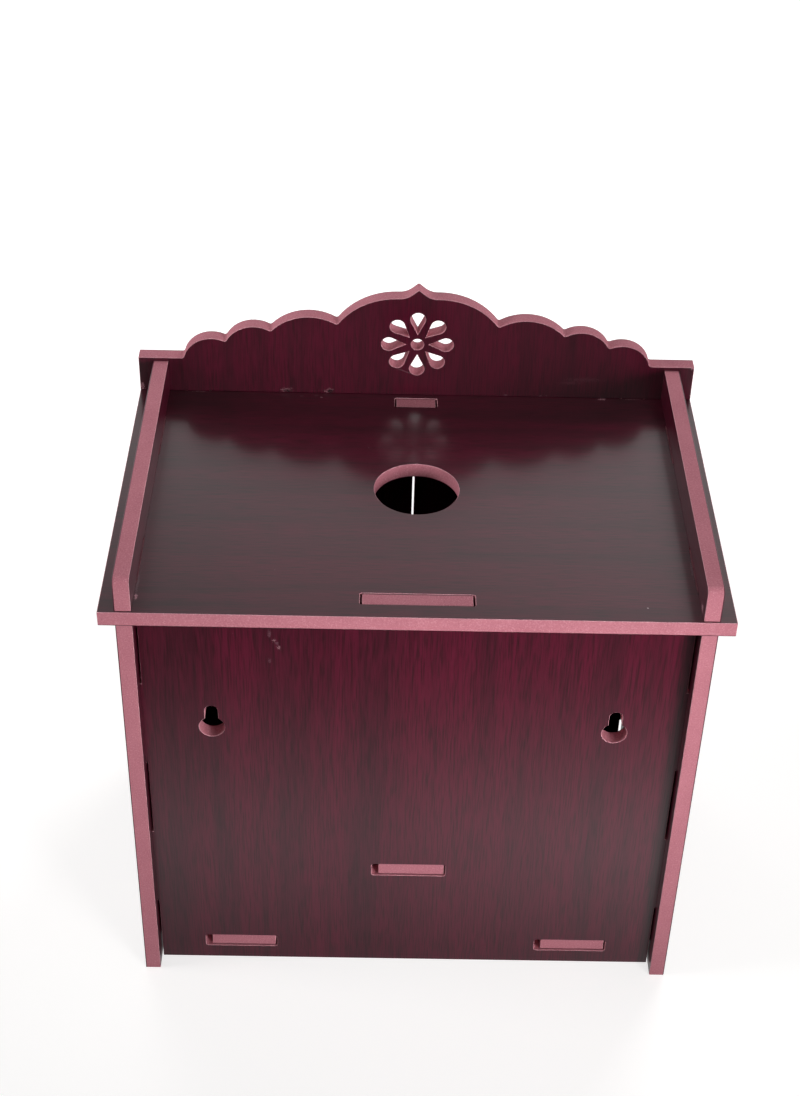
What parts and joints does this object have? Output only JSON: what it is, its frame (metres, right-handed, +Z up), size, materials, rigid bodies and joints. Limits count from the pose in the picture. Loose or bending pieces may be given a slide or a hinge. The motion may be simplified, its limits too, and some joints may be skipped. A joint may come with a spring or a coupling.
{
  "type": "wall shrine cabinet",
  "caption": "Wall-hung shrine or collection cabinet of tab-and-slot boards, with a pierced scalloped crest, a railed top with a round hole, a keyhole back and hinged front doors.",
  "frame": {"origin": "on the ground, below the middle of the top board's outline", "axes": "+Z up, -Y towards the doors (front), +Y towards the wall, +X to the right for someone facing the doors"},
  "size_m": [0.45, 0.3, 0.4774],
  "materials": {
    "laminated_board": "dark wine woodgrain laminate, rose core edges",
    "hinge_brass": "plated, satin",
    "knob_brass": "turned, polished",
    "screw_steel": "zinc plated",
    "catch_plastic": "moulded, matt",
    "magnet_ferrite": "sintered",
    "strike_steel": "zinc plated"
  },
  "bodies": {
    "cabinet": {"back_panel": "laminated_board", "catch_screws": "screw_steel", "crest_panel": "laminated_board", "floor_board": "laminated_board", "front_lintel": "laminated_board", "left_catch": "catch_plastic", "left_catch_magnet": "magnet_ferrite", "left_frame_hinge_screws": "screw_steel", "left_lower_hinge_frame_leaf": "hinge_brass", "left_lower_hinge_pin": "hinge_brass", "left_side_panel": "laminated_board", "left_top_rail": "laminated_board", "left_upper_hinge_frame_leaf": "hinge_brass", "left_upper_hinge_pin": "hinge_brass", "right_catch": "catch_plastic", "right_catch_magnet": "magnet_ferrite", "right_frame_hinge_screws": "screw_steel", "right_lower_hinge_frame_leaf": "hinge_brass", "right_lower_hinge_pin": "hinge_brass", "right_side_panel": "laminated_board", "right_top_rail": "laminated_board", "right_upper_hinge_frame_leaf": "hinge_brass", "right_upper_hinge_pin": "hinge_brass", "step_shelf": "laminated_board", "top_board": "laminated_board"},
    "left_door": {"left_door_panel": "laminated_board", "left_lower_hinge_door_leaf": "hinge_brass", "left_upper_hinge_door_leaf": "hinge_brass", "left_door_hinge_screws": "screw_steel", "left_knob": "knob_brass", "left_knob_screw": "screw_steel", "left_strike_plate": "strike_steel", "left_strike_screw": "screw_steel"},
    "right_door": {"right_door_panel": "laminated_board", "right_lower_hinge_door_leaf": "hinge_brass", "right_upper_hinge_door_leaf": "hinge_brass", "right_door_hinge_screws": "screw_steel", "right_knob": "knob_brass", "right_knob_screw": "screw_steel", "right_strike_plate": "strike_steel", "right_strike_screw": "screw_steel"}
  },
  "joints": [
    {"name": "right_door_hinge", "type": "hinge", "parent": "cabinet", "child": "right_door", "pos_m": [0.199, -0.1319, 0.1635], "axis": [0, 0, 1], "range_deg": [0, 170]},
    {"name": "left_door_hinge", "type": "hinge", "parent": "cabinet", "child": "left_door", "pos_m": [-0.199, -0.1319, 0.1635], "axis": [0, 0, -1], "range_deg": [0, 170]}
  ]
}
